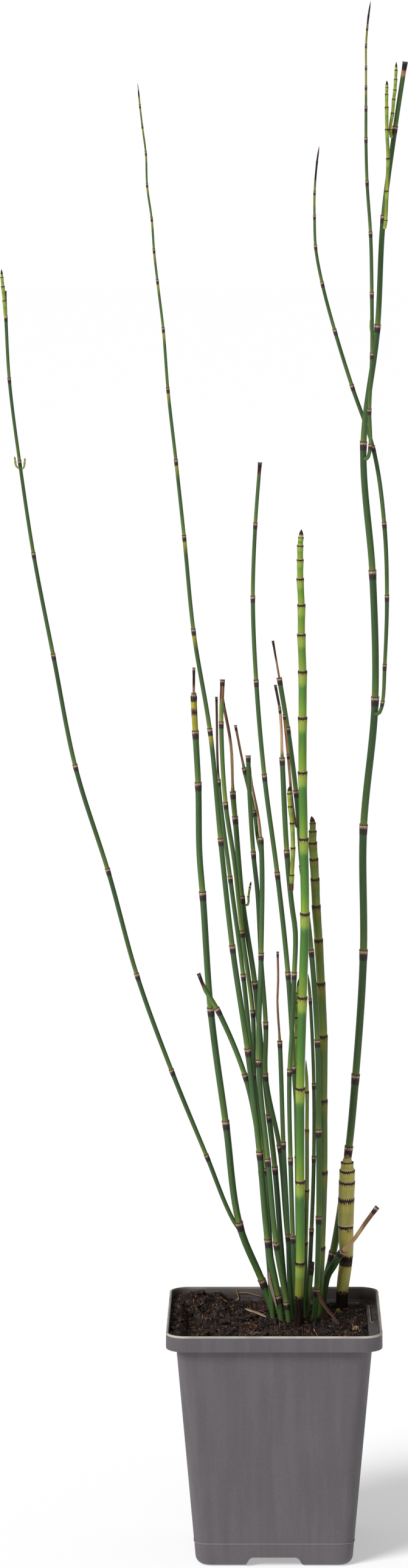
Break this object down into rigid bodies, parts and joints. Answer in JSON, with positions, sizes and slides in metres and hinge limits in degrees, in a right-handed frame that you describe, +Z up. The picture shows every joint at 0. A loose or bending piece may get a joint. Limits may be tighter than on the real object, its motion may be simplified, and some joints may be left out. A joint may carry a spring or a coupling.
{
  "type": "horsetail plant in nursery pot",
  "caption": "Tall clump of leafless jointed horsetail stems with dark sheaths at every joint, some cut or dried at the top, rooted in soil in a square tapered plastic nursery pot.",
  "frame": {"origin": "on the surface the pot stands on, under the middle of the whole plant's box; the pot's own middle is 30 mm from it along +X", "axes": "+Z up, +X to the right seen from the front, +Y away from the viewer; the pot's sides lie along X and Y"},
  "size_m": [0.1748, 0.09, 0.654],
  "materials": {
    "pot_plastic": "matt dark grey recycled polypropylene, faintly streaked, soiled rim",
    "soil": null,
    "stem_green": "living ribbed stem, satin, dark ashy bands at the joints; tops of several dried brown",
    "stem_fresh": "this year's living stem, satin, bright green with thin dark toothed rings",
    "shoot_olive": "young living shoot, olive green with thin dark toothed rings",
    "shoot_cream": "thick young shoot, cream to pale yellow green with dark toothed rings",
    "shoot_yellow_green": "thin young side shoot, bright yellow green with thin dark rings",
    "dry_tan": "dry straw-coloured stem skin, matt",
    "dry_brown": "dry red-brown stem skin, matt"
  },
  "bodies": {
    "root": {"pot": "pot_plastic", "soil": "soil", "stem_left_leaning": "stem_green", "stem_tall_slender": "stem_green", "stem_brown_top": "stem_green", "stem_dry_above": "stem_green", "stem_cut_short": "stem_green", "stem_forked": "stem_green", "stem_crossing": "stem_green", "stem_cut_tall": "stem_green", "stem_brown_short": "stem_green", "stem_tan_top": "stem_green", "stem_front_right": "stem_green", "stem_thin_right": "stem_green", "stem_stub_right": "stem_green", "stem_tall_right": "stem_green", "stem_light_green": "stem_fresh", "shoot_bright": "stem_fresh", "stem_stub_low": "stem_fresh", "shoot_olive": "shoot_olive", "shoot_small_olive": "shoot_olive", "shoot_cream": "shoot_cream", "shoot_on_tan_top": "shoot_yellow_green", "shoot_small_yellow": "shoot_yellow_green", "shoot_right_upper": "shoot_yellow_green", "shoot_right_top": "shoot_yellow_green", "shoot_far_left": "shoot_yellow_green", "stem_dry_thin": "dry_tan", "straw_tan": "dry_tan", "strip_on_slender": "dry_tan", "twig_red": "dry_brown", "strip_on_front": "dry_brown"}
  },
  "joints": []
}
